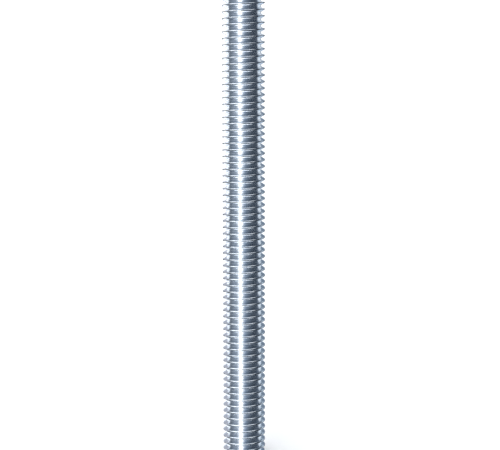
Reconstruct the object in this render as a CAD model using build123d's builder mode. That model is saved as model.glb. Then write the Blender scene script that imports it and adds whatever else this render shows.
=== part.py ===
"""Threaded rod: a round steel bar with one screw thread from end to end, cut to length, both ends chamfered."""

import os
from math import ceil, cos, pi, sin, tan

from build123d import *

# Thread, metric coarse, right-hand, as rolled
crest_diameter = 9.85
pitch = 1.5
depth_share = 0.6134

# Rod, with end faces that stay inside the root by the land
rod_length = 108.0
end_land = 0.2

# The blank that trims the thread is this much larger round the crests
blank_clearance = 0.1

# Radii of the thread, and of an end face once its chamfer has cleared the thread's whole depth
crest_radius = crest_diameter / 2
root_radius = crest_radius - pitch * depth_share
end_radius = root_radius - end_land

# A helix is wound in quarter turns, each a cubic curve, and a spare turn runs past each end of the rod
spans_per_turn = 4
span_angle = 2 * pi / spans_per_turn
span_rise = pitch / spans_per_turn
pull_share = 4 / 3 * tan(span_angle / 4)
thread_turns = ceil(rod_length / pitch) + 2
first_root = -pitch


def pole(radius, angle, pull, height):
    """A point on a circle, pulled along the tangent there by a share of the radius"""
    across = radius * (cos(angle) - pull * sin(angle))
    deep = radius * (sin(angle) + pull * cos(angle))
    return Vector(across, deep, height)


def helix_span(radius, start_height, number):
    """The four poles of a numbered span of the helix that starts over the X axis at that height"""
    start = number * span_angle
    end = start + span_angle
    foot = start_height + number * span_rise
    return [
        pole(radius, start, 0, foot),
        pole(radius, start, pull_share, foot + span_rise / 3),
        pole(radius, end, -pull_share, foot + span_rise * 2 / 3),
        pole(radius, end, 0, foot + span_rise),
    ]


def flank(lower_span, upper_span, weight_shares):
    """A straight flank between two spans. The weights leave its form as it is and halve its triangles."""
    weights = [[share] * len(lower_span) for share in weight_shares]
    return Face.make_bezier_surface([lower_span, upper_span], weights)


def end_lid(start_height):
    """Faces that close the wound bar on one turn of the root: a floor that winds up the axis, and its step"""
    lid = []
    for number in range(spans_per_turn):
        axis = helix_span(0, start_height, number)
        root = helix_span(root_radius, start_height, number)
        lid.append(Face.make_bezier_surface([axis, root]))
    section = [(0, 0), (root_radius, 0), (crest_radius, pitch / 2), (root_radius, pitch), (0, pitch)]
    step = [Vector(out, 0, start_height + up) for out, up in section]
    lid.append(Face(Wire.make_polygon(step)))
    return lid


# Wound bar: each span rises from the root to the crest, and from the crest to the root of the next turn
crest_weight_share = root_radius / crest_radius
skin = end_lid(first_root) + end_lid(first_root + thread_turns * pitch)
for number in range(thread_turns * spans_per_turn):
    root = helix_span(root_radius, first_root, number)
    crest = helix_span(crest_radius, first_root + pitch / 2, number)
    next_root = helix_span(root_radius, first_root + pitch, number)
    skin.append(flank(root, crest, [1, crest_weight_share]))
    skin.append(flank(crest, next_root, [crest_weight_share, 1]))
wound_bar = Solid(Shell(skin))

# Rod, standing on its lower end: what the wound bar and a chamfered blank have in common
blank_radius = crest_radius + blank_clearance
with BuildPart() as threaded_rod:
    with BuildSketch(Plane.XY):
        Circle(blank_radius)
    extrude(amount=rod_length)
    end_faces = threaded_rod.faces().filter_by(Axis.Z)
    chamfer(end_faces.edges(), length=blank_radius - end_radius)
    add(wound_bar, mode=Mode.INTERSECT)

threaded_rod.part.label = "threaded_rod"
os.makedirs("parts", exist_ok=True)
export_step(threaded_rod.part, "parts/threaded_rod.step")
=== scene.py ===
# %% [markdown]
# A threaded rod is a steel bar with a screw thread rolled into it from end to end. Here it stands on its
# lower end. The CAD solid has the thread's pitch, crest and root already, with straight flanks that meet in
# sharp edges, and it gives the size and the place of all that follows. The rounded crests and roots that
# rolling leaves, and the bright plating, are what this lesson adds.

# %% Load the frame and take the rod's size
from math import pi, radians, tan

import bpy
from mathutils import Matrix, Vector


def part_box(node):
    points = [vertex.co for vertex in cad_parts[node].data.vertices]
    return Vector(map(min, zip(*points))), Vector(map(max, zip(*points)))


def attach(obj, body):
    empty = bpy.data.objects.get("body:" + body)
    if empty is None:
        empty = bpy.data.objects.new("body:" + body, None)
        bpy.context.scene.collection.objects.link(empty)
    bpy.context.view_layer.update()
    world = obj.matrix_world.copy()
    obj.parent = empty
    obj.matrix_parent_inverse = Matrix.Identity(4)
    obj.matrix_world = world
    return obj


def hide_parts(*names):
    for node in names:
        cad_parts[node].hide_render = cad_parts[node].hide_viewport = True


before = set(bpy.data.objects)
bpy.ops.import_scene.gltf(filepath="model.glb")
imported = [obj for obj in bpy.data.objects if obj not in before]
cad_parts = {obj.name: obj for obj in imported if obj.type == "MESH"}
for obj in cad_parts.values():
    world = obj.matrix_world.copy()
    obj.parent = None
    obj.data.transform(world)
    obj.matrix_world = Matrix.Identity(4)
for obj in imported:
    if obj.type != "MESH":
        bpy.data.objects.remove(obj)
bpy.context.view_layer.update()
low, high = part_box("threaded_rod")
rod_length = high.z - low.z
crest_radius = min(high.x, -low.x, high.y, -low.y)
print("rod length mm", round(rod_length * 1000, 2), "crest radius mm", round(crest_radius * 1000, 3))

# %% [markdown]
# The camera comes first, because everything else is judged through it. In the photograph the turns of the
# thread lie closer together towards the bottom and the rod gets narrower there, so the lens looks down a
# little. The crests are straight lines at the top and sag more and more below, which tells how near the
# lens is. It stands about as far off as three lengths of the rod, and a little to the right of it.

# %% Place the camera
camera_distance = 0.35
camera_pitch = radians(7.1)
camera_roll = radians(0.1)
aim_lift = 0.00050
aim = (low.z + high.z) / 2 + aim_lift
side_step = 0.00151
bpy.ops.object.camera_add(
    location=(side_step, -camera_distance, aim + camera_distance * tan(camera_pitch)),
    rotation=(pi / 2 - camera_pitch, camera_roll, 0),
)
camera = bpy.context.object
camera.name = "camera"
camera.data.lens = 109.2
camera.data.clip_start = 0.01
camera.data.dof.use_dof = False
bpy.context.scene.camera = camera
print("camera height mm", round(camera.location.z * 1000, 1))

# %% [markdown]
# The thread is a V of sixty degrees, wound round the bar. Rolling presses the metal up between two dies,
# so the crest is rounded and the root is a full hollow. One pitch of that outline is drawn as a chain of
# points: half a flank, the crest, a whole flank down to the root, and half a flank up again. Starting
# halfway up a flank leaves both the crest and the root inside the chain, where a bevel can round them. The
# solid's root starts over the X axis at the lower end, so its crest lies half a pitch above that.

# %% Draw one pitch of the outline
pitch = 0.0015
flank_slope = tan(radians(30))
crest_flat = 0.00025
crest_point = crest_radius + crest_flat / 2 / flank_slope
root_point = crest_point - pitch / 2 / flank_slope
middle = (crest_point + root_point) / 2
spare_turns = 3
turns = round(rod_length / pitch) + 2 * spare_turns
lowest = low.z + pitch / 4 - spare_turns * pitch

bpy.ops.object.select_all(action="DESELECT")
bpy.ops.mesh.primitive_plane_add(size=pitch, location=(0, 0, 0))
rod = bpy.context.object
rod.name = "rolled_rod"
bpy.ops.object.mode_set(mode="EDIT")
bpy.ops.mesh.select_all(action="SELECT")
bpy.ops.mesh.merge(type="CENTER")
bpy.ops.transform.translate(value=(middle, 0, lowest))
chain = [
    (crest_radius - middle, pitch / 4 - crest_flat / 2),
    (0, crest_flat),
    (root_point - crest_radius, pitch / 2 - crest_flat / 2),
    (middle - root_point, pitch / 4),
]
for out, up in chain:
    bpy.ops.mesh.extrude_vertices_move(TRANSFORM_OT_translate={"value": (out, 0, up)})
bpy.ops.object.mode_set(mode="OBJECT")
depth = crest_radius - root_point
print("points in the outline", len(rod.data.vertices), "depth mm", round(depth * 1000, 3))

# %% [markdown]
# A bevel on single points turns a corner of the chain into an arc. The root gets a wide one, as the dies
# leave it, and the two corners of the crest get small ones, which are what catches the light on each turn.

# %% Round the root and the crest
def pick_points(test):
    """Selects the points of the active mesh that pass the test, and goes into edit mode"""
    bpy.ops.object.mode_set(mode="EDIT")
    bpy.ops.mesh.select_mode(type="VERT")
    bpy.ops.mesh.select_all(action="DESELECT")
    bpy.ops.object.mode_set(mode="OBJECT")
    for point in bpy.context.object.data.vertices:
        point.select = test(point.co)
    bpy.ops.object.mode_set(mode="EDIT")


root_round = 0.00022
crest_round = 0.000118
hair = pitch / 1000
pick_points(lambda co: co.x < root_point + hair)
bpy.ops.mesh.bevel(affect="VERTICES", offset=root_round / flank_slope, segments=5, profile=0.5)
pick_points(lambda co: co.x > crest_radius - hair)
bpy.ops.mesh.bevel(affect="VERTICES", offset=crest_round, segments=3, profile=0.5)
bpy.ops.object.mode_set(mode="OBJECT")
root_radius = min(point.co.x for point in rod.data.vertices)
print("points after rounding", len(rod.data.vertices), "root radius mm", round(root_radius * 1000, 3))

# %% [markdown]
# The Screw modifier winds the outline round the upright axis and lifts it by one pitch each turn. The top
# of one turn then lies exactly on the bottom of the next, so merging the doubled points makes one skin.

# %% Wind the thread
steps_a_turn = 80
winding = rod.modifiers.new("winding", "SCREW")
winding.axis = "Z"
winding.angle = 2 * pi
winding.screw_offset = pitch
winding.iterations = turns
winding.steps = steps_a_turn
winding.render_steps = steps_a_turn
winding.use_merge_vertices = False
bpy.ops.object.modifier_apply(modifier="winding")
bpy.ops.object.mode_set(mode="EDIT")
bpy.ops.mesh.select_all(action="SELECT")
bpy.ops.mesh.remove_doubles(threshold=pitch / 2000)
bpy.ops.mesh.normals_make_consistent(inside=False)
bpy.ops.object.mode_set(mode="OBJECT")
print("turns", turns, "faces", len(rod.data.polygons))

# %% [markdown]
# The real rod is cut to length and its ends are chamfered, so that a nut starts easily. Two level cuts close
# the skin a little beyond both ends, which makes it a solid that can be trimmed.

# %% Close the skin beyond both ends
overhang = pitch / 4
merge_gap = pitch / 5000
for height, above in ((low.z - overhang, False), (high.z + overhang, True)):
    bpy.ops.object.mode_set(mode="EDIT")
    bpy.ops.mesh.select_all(action="SELECT")
    bpy.ops.mesh.bisect(
        plane_co=(0, 0, height),
        plane_no=(0, 0, 1),
        use_fill=True,
        clear_outer=above,
        clear_inner=not above,
        threshold=merge_gap,
    )
    bpy.ops.object.mode_set(mode="OBJECT")
print("faces after closing", len(rod.data.polygons))

# %% [markdown]
# A chamfered blank, as long as the rod and a hair wider than its crests, is the shape that a lathe would
# leave of a plain bar. What the wound thread and the blank have in common is the rod: on each chamfer the
# thread runs out as it does on a turned end.

# %% Turn a chamfered blank
end_radius = 0.003805
clearance = 0.00005
bpy.ops.object.select_all(action="DESELECT")
bpy.ops.mesh.primitive_cylinder_add(
    vertices=88, radius=crest_radius + clearance, depth=rod_length, location=(0, 0, (low.z + high.z) / 2)
)
blank = bpy.context.object
blank.name = "blank"
bpy.ops.object.transform_apply(location=True, rotation=True, scale=True)
bpy.ops.object.mode_set(mode="EDIT")
bpy.ops.mesh.select_mode(type="EDGE")
bpy.ops.mesh.select_all(action="DESELECT")
bpy.ops.object.mode_set(mode="OBJECT")
for edge in blank.data.edges:
    first, second = [blank.data.vertices[index].co.z for index in edge.vertices]
    edge.select = abs(first - second) < hair
bpy.ops.object.mode_set(mode="EDIT")
bpy.ops.mesh.bevel(affect="EDGES", offset=crest_radius - end_radius + clearance, segments=1)
bpy.ops.object.mode_set(mode="OBJECT")
print("blank's faces", len(blank.data.polygons))

# %% [markdown]
# The Boolean modifier, set to intersect, keeps what the two forms share. The exact solver is the slow one,
# but it copes with thousands of narrow faces that all meet the blank. Afterwards the points that fell
# together are merged and all faces are turned outward.

# %% Trim the thread with the blank
bpy.ops.object.select_all(action="DESELECT")
rod.select_set(True)
bpy.context.view_layer.objects.active = rod
trim = rod.modifiers.new("trim", "BOOLEAN")
trim.operation = "INTERSECT"
trim.solver = "EXACT"
trim.object = blank
bpy.ops.object.modifier_apply(modifier="trim")
bpy.data.objects.remove(blank, do_unlink=True)
bpy.ops.object.mode_set(mode="EDIT")
bpy.ops.mesh.select_all(action="SELECT")
bpy.ops.mesh.remove_doubles(threshold=merge_gap)
bpy.ops.mesh.normals_make_consistent(inside=False)
bpy.ops.object.mode_set(mode="OBJECT")
rod.data.calc_loop_triangles()
print("triangles", len(rod.data.loop_triangles))

# %% [markdown]
# Smooth shading makes the facets round the rod disappear. Left alone it would also bend the light on the
# straight flanks towards the rounded crest and root, so the normals are weighted by the faces' size: the
# large flanks stay straight and the small faces of the roundings take up the turn.

# %% Shade it smooth and join it to the frame
bpy.ops.object.shade_smooth_by_angle(angle=radians(32))
weighted = rod.modifiers.new("straight_flanks", "WEIGHTED_NORMAL")
weighted.keep_sharp = True
bpy.ops.object.modifier_apply(modifier="straight_flanks")
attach(rod, "root")
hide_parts("threaded_rod")
sharp_edges = sum(edge.use_edge_sharp for edge in rod.data.edges)
print("sharp edges", sharp_edges)

# %% [markdown]
# Bright zinc plate is a thin, bluish, mirror-like coat. It is a metal shader with four signs of how the rod
# was made: a bloom that drifts along the coat, fine marks that the dies rolled along each turn, shallow dents
# from handling, and crests that are duller because the coat is thinnest and most worn there. The crests also
# carry painted shade, darker than the wear alone, so that their tips come out dark at the rod's sides. The
# cut ends show bare steel with a lathe's rings. All of it is worked out from the place on the rod, without a
# picture.
# A few small helpers keep the joining of nodes short.

# %% Small tools for joining nodes
def new_node(tree, kind, **settings):
    """A new shader node of that kind, with those settings"""
    node = tree.nodes.new("ShaderNode" + kind)
    for name, value in settings.items():
        setattr(node, name, value)
    return node


def feed(tree, socket, value):
    """Links an output to the socket, or sets the socket to a plain value"""
    if isinstance(value, bpy.types.NodeSocket):
        tree.links.new(value, socket)
    else:
        socket.default_value = value


def math_node(tree, operation, *values):
    """The output of a math node on those values"""
    node = new_node(tree, "Math", operation=operation)
    for socket, value in zip(node.inputs, values):
        feed(tree, socket, value)
    return node.outputs[0]


def slide(tree, value, from_low, from_high, to_low=0.0, to_high=1.0):
    """A smooth step of the value from one range to another"""
    node = new_node(tree, "MapRange", interpolation_type="SMOOTHSTEP")
    names = ("Value", "From Min", "From Max", "To Min", "To Max")
    for name, number in zip(names, (value, from_low, from_high, to_low, to_high)):
        feed(tree, node.inputs[name], number)
    return node.outputs["Result"]


def blend(tree, share, first, second):
    """The first colour where the share is none, the second where it is whole"""
    node = new_node(tree, "Mix", data_type="RGBA")
    for name, value in (("Factor", share), ("A", first), ("B", second)):
        feed(tree, node.inputs[name], value)
    return node.outputs["Result"]


zinc = bpy.data.materials.new("zinc_plating")
zinc.use_nodes = True
coat = zinc.node_tree
print("material", zinc.name)

# %% [markdown]
# The marks follow the thread, so the coat has to know where on the thread it is. Object coordinates are used,
# because they stay with the rod when it is moved. They give the distance from the axis, the angle round it,
# and the share of a turn, which is 0 at the root and a half at the crest.

# %% Find the place on the thread
place = new_node(coat, "TexCoord").outputs["Object"]
axes = new_node(coat, "SeparateXYZ")
feed(coat, axes.inputs[0], place)
across, deep, height = axes.outputs
across_squared = math_node(coat, "MULTIPLY", across, across)
deep_squared = math_node(coat, "MULTIPLY", deep, deep)
radius = math_node(coat, "SQRT", math_node(coat, "ADD", across_squared, deep_squared))
angle = math_node(coat, "ARCTAN2", deep, across)
pitches_up = math_node(coat, "DIVIDE", height, pitch)
turns_round = math_node(coat, "DIVIDE", angle, 2 * pi)
on_turn = math_node(coat, "FRACT", math_node(coat, "SUBTRACT", pitches_up, turns_round))
print("nodes that find the place", len(coat.nodes))

# %% [markdown]
# Three noises make the coat uneven. On the real rod the bloom comes from the plating bath, the marks along
# the turns from the rolling dies, and the dents from other rods. The die marks are drawn out along the turn,
# because their noise is fed with the direction round the rod, which changes slowly there, and with the
# share of a turn, which changes fast across it.

# %% Bloom, die marks and dents
def noise_node(tree, vector, scale, detail, depth=None):
    """The value of a noise at that scale, with a fourth direction where a depth is given"""
    node = new_node(tree, "TexNoise", noise_dimensions="3D" if depth is None else "4D")
    feed(tree, node.inputs["Vector"], vector)
    feed(tree, node.inputs["Scale"], scale)
    feed(tree, node.inputs["Detail"], detail)
    if depth is not None:
        feed(tree, node.inputs["W"], depth)
    return node.outputs[0]


marks_a_turn = 7.0
marks_a_metre = 500.0
bloom = noise_node(coat, place, 380.0, 3.0)
along_turn = new_node(coat, "CombineXYZ")
feed(coat, along_turn.inputs[0], math_node(coat, "DIVIDE", across, radius))
feed(coat, along_turn.inputs[1], math_node(coat, "DIVIDE", deep, radius))
feed(coat, along_turn.inputs[2], math_node(coat, "MULTIPLY", on_turn, marks_a_turn))
next_turn = math_node(coat, "MULTIPLY", height, marks_a_metre)
die_marks = noise_node(coat, along_turn.outputs[0], 1.6, 2.0, next_turn)
dents = noise_node(coat, place, 1300.0, 2.0)
print("noises", sum(node.type == "TEX_NOISE" for node in coat.nodes))

# %% [markdown]
# Crests rub on whatever they touch, so their coat is thin and dull, with a ragged edge. The same crest mask
# also paints shade on the crests, so that their tips come out dark at the sides of the rod. The ends were
# faced on a lathe after plating and are bare. Both are masks, worked out from the distance from the axis and
# from the height, and the dents' noise makes the edge of the worn part ragged.

# %% Worn crests with painted shade, and cut ends
# The crest mask marks worn crests and also paints shade on them.
rub_and_shade_depth = 0.000045
rub_and_shade_edge = 0.000012
rag = 0.00004
rag_start = math_node(coat, "SUBTRACT", radius, rag / 2)
ragged = math_node(coat, "MULTIPLY_ADD", dents, rag, rag_start)
# Painted shade and wear: this mask darkens the crests so that their tips read dark at the sides.
crest = slide(coat, ragged, crest_radius - rub_and_shade_depth, crest_radius - rub_and_shade_edge)
thin = 0.00001
cut_top = math_node(coat, "GREATER_THAN", height, high.z - thin)
cut_base = math_node(coat, "LESS_THAN", height, low.z + thin)
cut_end = math_node(coat, "ADD", cut_top, cut_base)
ring_gap = 0.00018
rings = math_node(coat, "SINE", math_node(coat, "MULTIPLY", radius, 2 * pi / ring_gap))
print("crests are rubbed over the outer mm", round(rub_and_shade_depth * 1000, 3))

# %% [markdown]
# A metal's base colour is how much of each colour it mirrors. New plating mirrors about three quarters, and
# the bloom a little less. The crests mirror a third, which is partly wear and partly painted shade. Any metal
# mirrors more at a grazing view, and a dark specular tint holds that back on the crests, which is painted
# shade that keeps their tips dark. The roughness is low, a little higher in the die marks, and the dents and
# rings are a bump of about a hundredth of a millimetre.

# %% Put the coat on the rod
new_plating = (0.74, 0.77, 0.81, 1)
bloomed = (0.68, 0.715, 0.76, 1)
# Crest colour: worn plating with painted shade on top, darker than wear alone.
rubbed_and_shaded = (0.33, 0.34, 0.355, 1)
bare_steel = (0.56, 0.55, 0.53, 1)
# The near-black specular tint on the crests is painted shade.
full_edge, dull_and_shaded_edge = (1, 1, 1, 1), (0.02, 0.02, 0.02, 1)
end_roughness = 0.18
ring_depth = 0.4
bump_height = 0.000012
shader = coat.nodes["Principled BSDF"]
shader.inputs["Metallic"].default_value = 1.0
tint = blend(coat, slide(coat, bloom, 0.35, 0.68), new_plating, bloomed)
# Painted shade and wear: the crests get the dark colour.
tint = blend(coat, crest, tint, rubbed_and_shaded)
feed(coat, shader.inputs["Base Color"], blend(coat, cut_end, tint, bare_steel))
# Painted shade: the dark specular tint goes on the crests.
feed(coat, shader.inputs["Specular Tint"], blend(coat, crest, full_edge, dull_and_shaded_edge))
gloss = slide(coat, die_marks, 0.3, 0.7, 0.10, 0.16)
feed(coat, shader.inputs["Roughness"], math_node(coat, "MULTIPLY_ADD", cut_end, end_roughness, gloss))
end_rings = math_node(coat, "MULTIPLY", cut_end, rings)
bump = new_node(coat, "Bump")
feed(coat, bump.inputs["Strength"], 1.0)
feed(coat, bump.inputs["Distance"], bump_height)
feed(coat, bump.inputs["Height"], math_node(coat, "MULTIPLY_ADD", end_rings, ring_depth, dents))
feed(coat, shader.inputs["Normal"], bump.outputs["Normal"])
rod.data.materials.clear()
rod.data.materials.append(zinc)
print("coat's nodes", len(coat.nodes))

# %% [markdown]
# In the photograph the ground is plain white. Here the rod stands on a round sheet of white paper whose rim
# turns up far away, so that there is no horizon. The paper is lit like any sheet and keeps the rod's soft
# shadow, and a little light of its own brings it up to white. Its mirror image is kept out of the rod,
# because the photographed rod shows no paper: what it mirrors comes from the surroundings below.

# %% Lay the paper
paper_radius = 3.0
rim_height = 0.6
bpy.ops.object.select_all(action="DESELECT")
bpy.ops.mesh.primitive_circle_add(vertices=96, radius=paper_radius, fill_type="NGON", location=(0, 0, low.z))
paper = bpy.context.object
paper.name = "white_paper"
bpy.ops.object.mode_set(mode="EDIT")
bpy.ops.mesh.select_mode(type="EDGE")
bpy.ops.mesh.select_all(action="SELECT")
bpy.ops.mesh.region_to_loop()
bpy.ops.mesh.extrude_edges_move(TRANSFORM_OT_translate={"value": (0, 0, rim_height)})
bpy.ops.object.mode_set(mode="OBJECT")
paper.visible_glossy = False
print("paper's faces", len(paper.data.polygons))

# %% Make the paper white
white = bpy.data.materials.new("white_paper")
white.use_nodes = True
sheet = white.node_tree
diffuse = sheet.nodes["Principled BSDF"]
diffuse.inputs["Base Color"].default_value = (0.85, 0.85, 0.85, 1)
diffuse.inputs["Roughness"].default_value = 0.9
diffuse.inputs["Emission Color"].default_value = (0.22, 0.20, 0.18, 1)
ray = new_node(sheet, "LightPath").outputs
mirrored = math_node(sheet, "ADD", ray["Is Glossy Ray"], ray["Is Transmission Ray"])
seen = math_node(sheet, "ADD", ray["Is Camera Ray"], mirrored)
feed(sheet, diffuse.inputs["Emission Strength"], seen)
paper.data.materials.append(white)
print("paper's nodes", len(sheet.nodes))

# %% [markdown]
# A mirror-like rod shows its surroundings and nothing else, so they are what makes it look like the
# photograph. They are painted on the world by direction: a bearing, in degrees to the right of the camera as
# the rod sees it, and a rise above or below level. White screens stand on both sides behind the rod, a soft
# window stands to the left of the camera, the room behind the camera is dark, and a bank of light hangs
# overhead in front. Each groove of the thread sends the light back after three bounces, almost like a plain
# upright mirror. The plating takes about a quarter of the light each time, more of the red than of the blue,
# so the grooves come out darker and bluer than what mirrors the same place only once.

# %% Find the direction
world = bpy.data.worlds.new("studio")
bpy.context.scene.world = world
world.use_nodes = True
room = world.node_tree
room.nodes.clear()
direction = new_node(room, "SeparateXYZ")
feed(room, direction.inputs[0], new_node(room, "TexCoord").outputs["Generated"])
towards = math_node(room, "MULTIPLY", direction.outputs["Y"], -1.0)
bearing = math_node(room, "ARCTAN2", direction.outputs["X"], towards)
sweep = math_node(room, "MULTIPLY_ADD", bearing, 1 / (2 * pi), 0.5)
aside = math_node(room, "MULTIPLY", math_node(room, "ABSOLUTE", bearing), 180 / pi)
rise = math_node(room, "MULTIPLY", math_node(room, "ARCSINE", direction.outputs["Z"]), 180 / pi)
print("nodes that find the direction", len(room.nodes))

# %% [markdown]
# A colour ramp, fed with the bearing, paints one band right round the room. Each stop of a band is a bearing
# and a brightness, where 1 is white. What is darker than white is a little blue, as a room is beside a
# window. The stops are written as shares of the brightest light, which the last node multiplies up again.

# %% Make a band of the room
brightest = 4.0
cool = (0.80, 0.98, 1.22)
pale = (0.86, 0.99, 1.15)
neutral = (0.97, 1.0, 1.03)


def shade(light, cast):
    """The colour of a light of that brightness and cast, as a share of the brightest"""
    return (*[light * part / brightest for part in cast], 1)


def band(stops):
    """A smooth band round the room: brightness at bearings in degrees, cool where it is under white"""
    node = new_node(room, "ValToRGB")
    node.color_ramp.interpolation = "EASE"
    elements = node.color_ramp.elements
    while len(elements) < len(stops):
        elements.new(0.5)
    for element, (degrees, light) in zip(elements, stops):
        element.position = degrees / 360 + 0.5
        element.color = shade(light, neutral if light >= 1 else pale if degrees < 0 else cool)
    feed(room, node.inputs["Fac"], sweep)
    return node.outputs["Color"]


print("brightest light", brightest)

# %% Paint the bands
window_level = [(-108, 0.25), (-54, 0.52), (-38, 1.1), (-29, 4.0), (-20, 4.0), (-8, 1.2)]
room_level = [(4, 0.49), (18, 0.29), (36, 0.18), (60, 0.105), (94, 0.10), (104, 0.13)]
left_level = [(-166, 0.7), (-148, 2.4), (-126, 2.4)]
right_level = [(115, 1.25), (146, 1.25), (166, 0.4)]
level = band([*left_level, *window_level, *room_level, *right_level])
under = band([(-126, 2.0), *window_level, *room_level, (118, 0.95)])
window_below = [(-102, 0.18), (-54, 0.38), (-39, 1.3), (-28, 4.0), (-17, 4.0), (-5, 1.3)]
room_below = [(7, 0.84), (20, 0.46), (38, 0.29), (60, 0.19), (92, 0.18)]
left_below = [(-170, 0.6), (-112, 1.0)]
right_below = [(105, 0.3), (117, 1.05), (142, 1.05), (158, 0.3), (178, 0.4)]
below = band([*left_below, *window_below, *room_below, *right_below])
bank = band([(-130, 0.25), (-100, 4.0), (-50, 4.0), (-20, 3.3), (62, 3.1), (96, 0.25)])
ceiling = band([(-130, 0.25), (-100, 0.7), (62, 0.7), (96, 0.25)])
ground = band([(-140, 0.2), (-100, 0.6), (-20, 0.6), (40, 0.25), (180, 0.2)])
print("bands", sum(node.type == "VALTORGB" for node in room.nodes))

# %% [markdown]
# The bands lie one above the other, from the ground to the ceiling, and soft steps of the rise join them. The
# bank of light starts high in front and low behind. From the camera, only the upper rounding of each crest
# shows it, and that makes the one thin white line on each turn. The plain ceiling over it keeps the flanks
# from going all white when the rod is looked at from above.

# %% Join the bands by height
def between(bearing_from, bearing_to, *values):
    """A smooth step between two bearings in degrees, to the right or to the left"""
    return slide(room, bearing, radians(bearing_from), radians(bearing_to), *values)


bank_left, bank_right, bank_back = 35.5, 41.0, 13.0
table_left, table_right = -11.4, -2.3
bank_front = between(-25, 15, bank_left, bank_right)
bank_edge = slide(room, aside, 100.0, 130.0, bank_front, bank_back)
over_bank_edge = math_node(room, "SUBTRACT", rise, bank_edge)
overhead = blend(room, slide(room, rise, 56.0, 66.0), bank, ceiling)
upper = blend(room, slide(room, over_bank_edge, 0.0, 8.0), level, overhead)
lower = blend(room, slide(room, rise, -14.9, -19.4), below, under)
table_edge = between(-60, 60, table_left, table_right)
print("bank of light from", bank_left, "degrees up on the left and", bank_right, "on the right")

# %% [markdown]
# The sides of the rod mirror what stands behind it. White screens there make the white grooves at both sides,
# and the walls before the screens, lilac on the left and slate on the right, make the tips of the crests. The
# screens' edges lean, so the tips show more wall towards the rod's lower end, as they do in the photograph.

# %% Colour the walls and the white screens
def by_side(*values):
    """A number for the left side of the room and one for the right, or 0 and 1"""
    return between(-10, 10, *values)


lilac = shade(0.56, (0.95, 0.98, 1.12))
slate = shade(0.28, (0.78, 1.0, 1.28))
glint = shade(0.98, (0.85, 1.0, 1.13))
screen_white = shade(1.7, (1.0, 1.0, 1.0))
lean = 0.58
right_wall = blend(room, slide(room, aside, 138.0, 152.0), glint, slate)
wall = blend(room, by_side(), lilac, right_wall)
slant = math_node(room, "MULTIPLY_ADD", rise, lean, aside)
past_edge = math_node(room, "SUBTRACT", slant, by_side(173.4, 177.5))
wall = blend(room, slide(room, past_edge, -1.5, 1.5), wall, screen_white)
print("screens lean by degrees for each degree of rise", lean)

# %% Stand the walls behind the rod
over_top = math_node(room, "SUBTRACT", rise, by_side(58.0, 32.0))
wall_height = math_node(room, "MULTIPLY", slide(room, rise, 1.5, 5.0), slide(room, over_top, 4.0, -4.0))
past_start = math_node(room, "SUBTRACT", aside, by_side(125.0, 108.0))
behind = math_node(room, "MULTIPLY", slide(room, past_start, 0.0, 13.0), wall_height)
upper = blend(room, behind, upper, wall)
foot_height = math_node(room, "MULTIPLY", slide(room, rise, 2.5, -0.5), slide(room, rise, -7.5, -5.0))
foot_width = math_node(room, "MULTIPLY", between(-110, -117), between(-143, -136))
upper = blend(room, math_node(room, "MULTIPLY", foot_height, foot_width), upper, lilac)
print("blends so far", sum(node.type == "MIX" for node in room.nodes))

# %% [markdown]
# Last, the upper and the lower half of the room meet at the table's edge, which is lower on the left, and the
# ground closes it below. One Background shader gives the whole its strength.

# %% Close the room
over_table = math_node(room, "SUBTRACT", rise, table_edge)
walls = blend(room, slide(room, over_table, 0.0, -4.6), upper, lower)
painted = blend(room, slide(room, rise, -36.0, -44.0), walls, ground)
light = new_node(room, "Background")
feed(room, light.inputs["Color"], painted)
feed(room, light.inputs["Strength"], brightest)
room.links.new(light.outputs[0], new_node(room, "OutputWorld").inputs["Surface"])
print("world nodes", len(room.nodes))

# %% [markdown]
# Light bounces to and fro in the grooves before it comes out, so the renderer needs more mirror bounces than
# usual. The picture is shown with plain colours.

# %% Finish
scene = bpy.context.scene
scene.view_settings.view_transform = "Standard"
scene.cycles.glossy_bounces = 10
scene.cycles.max_bounces = 12
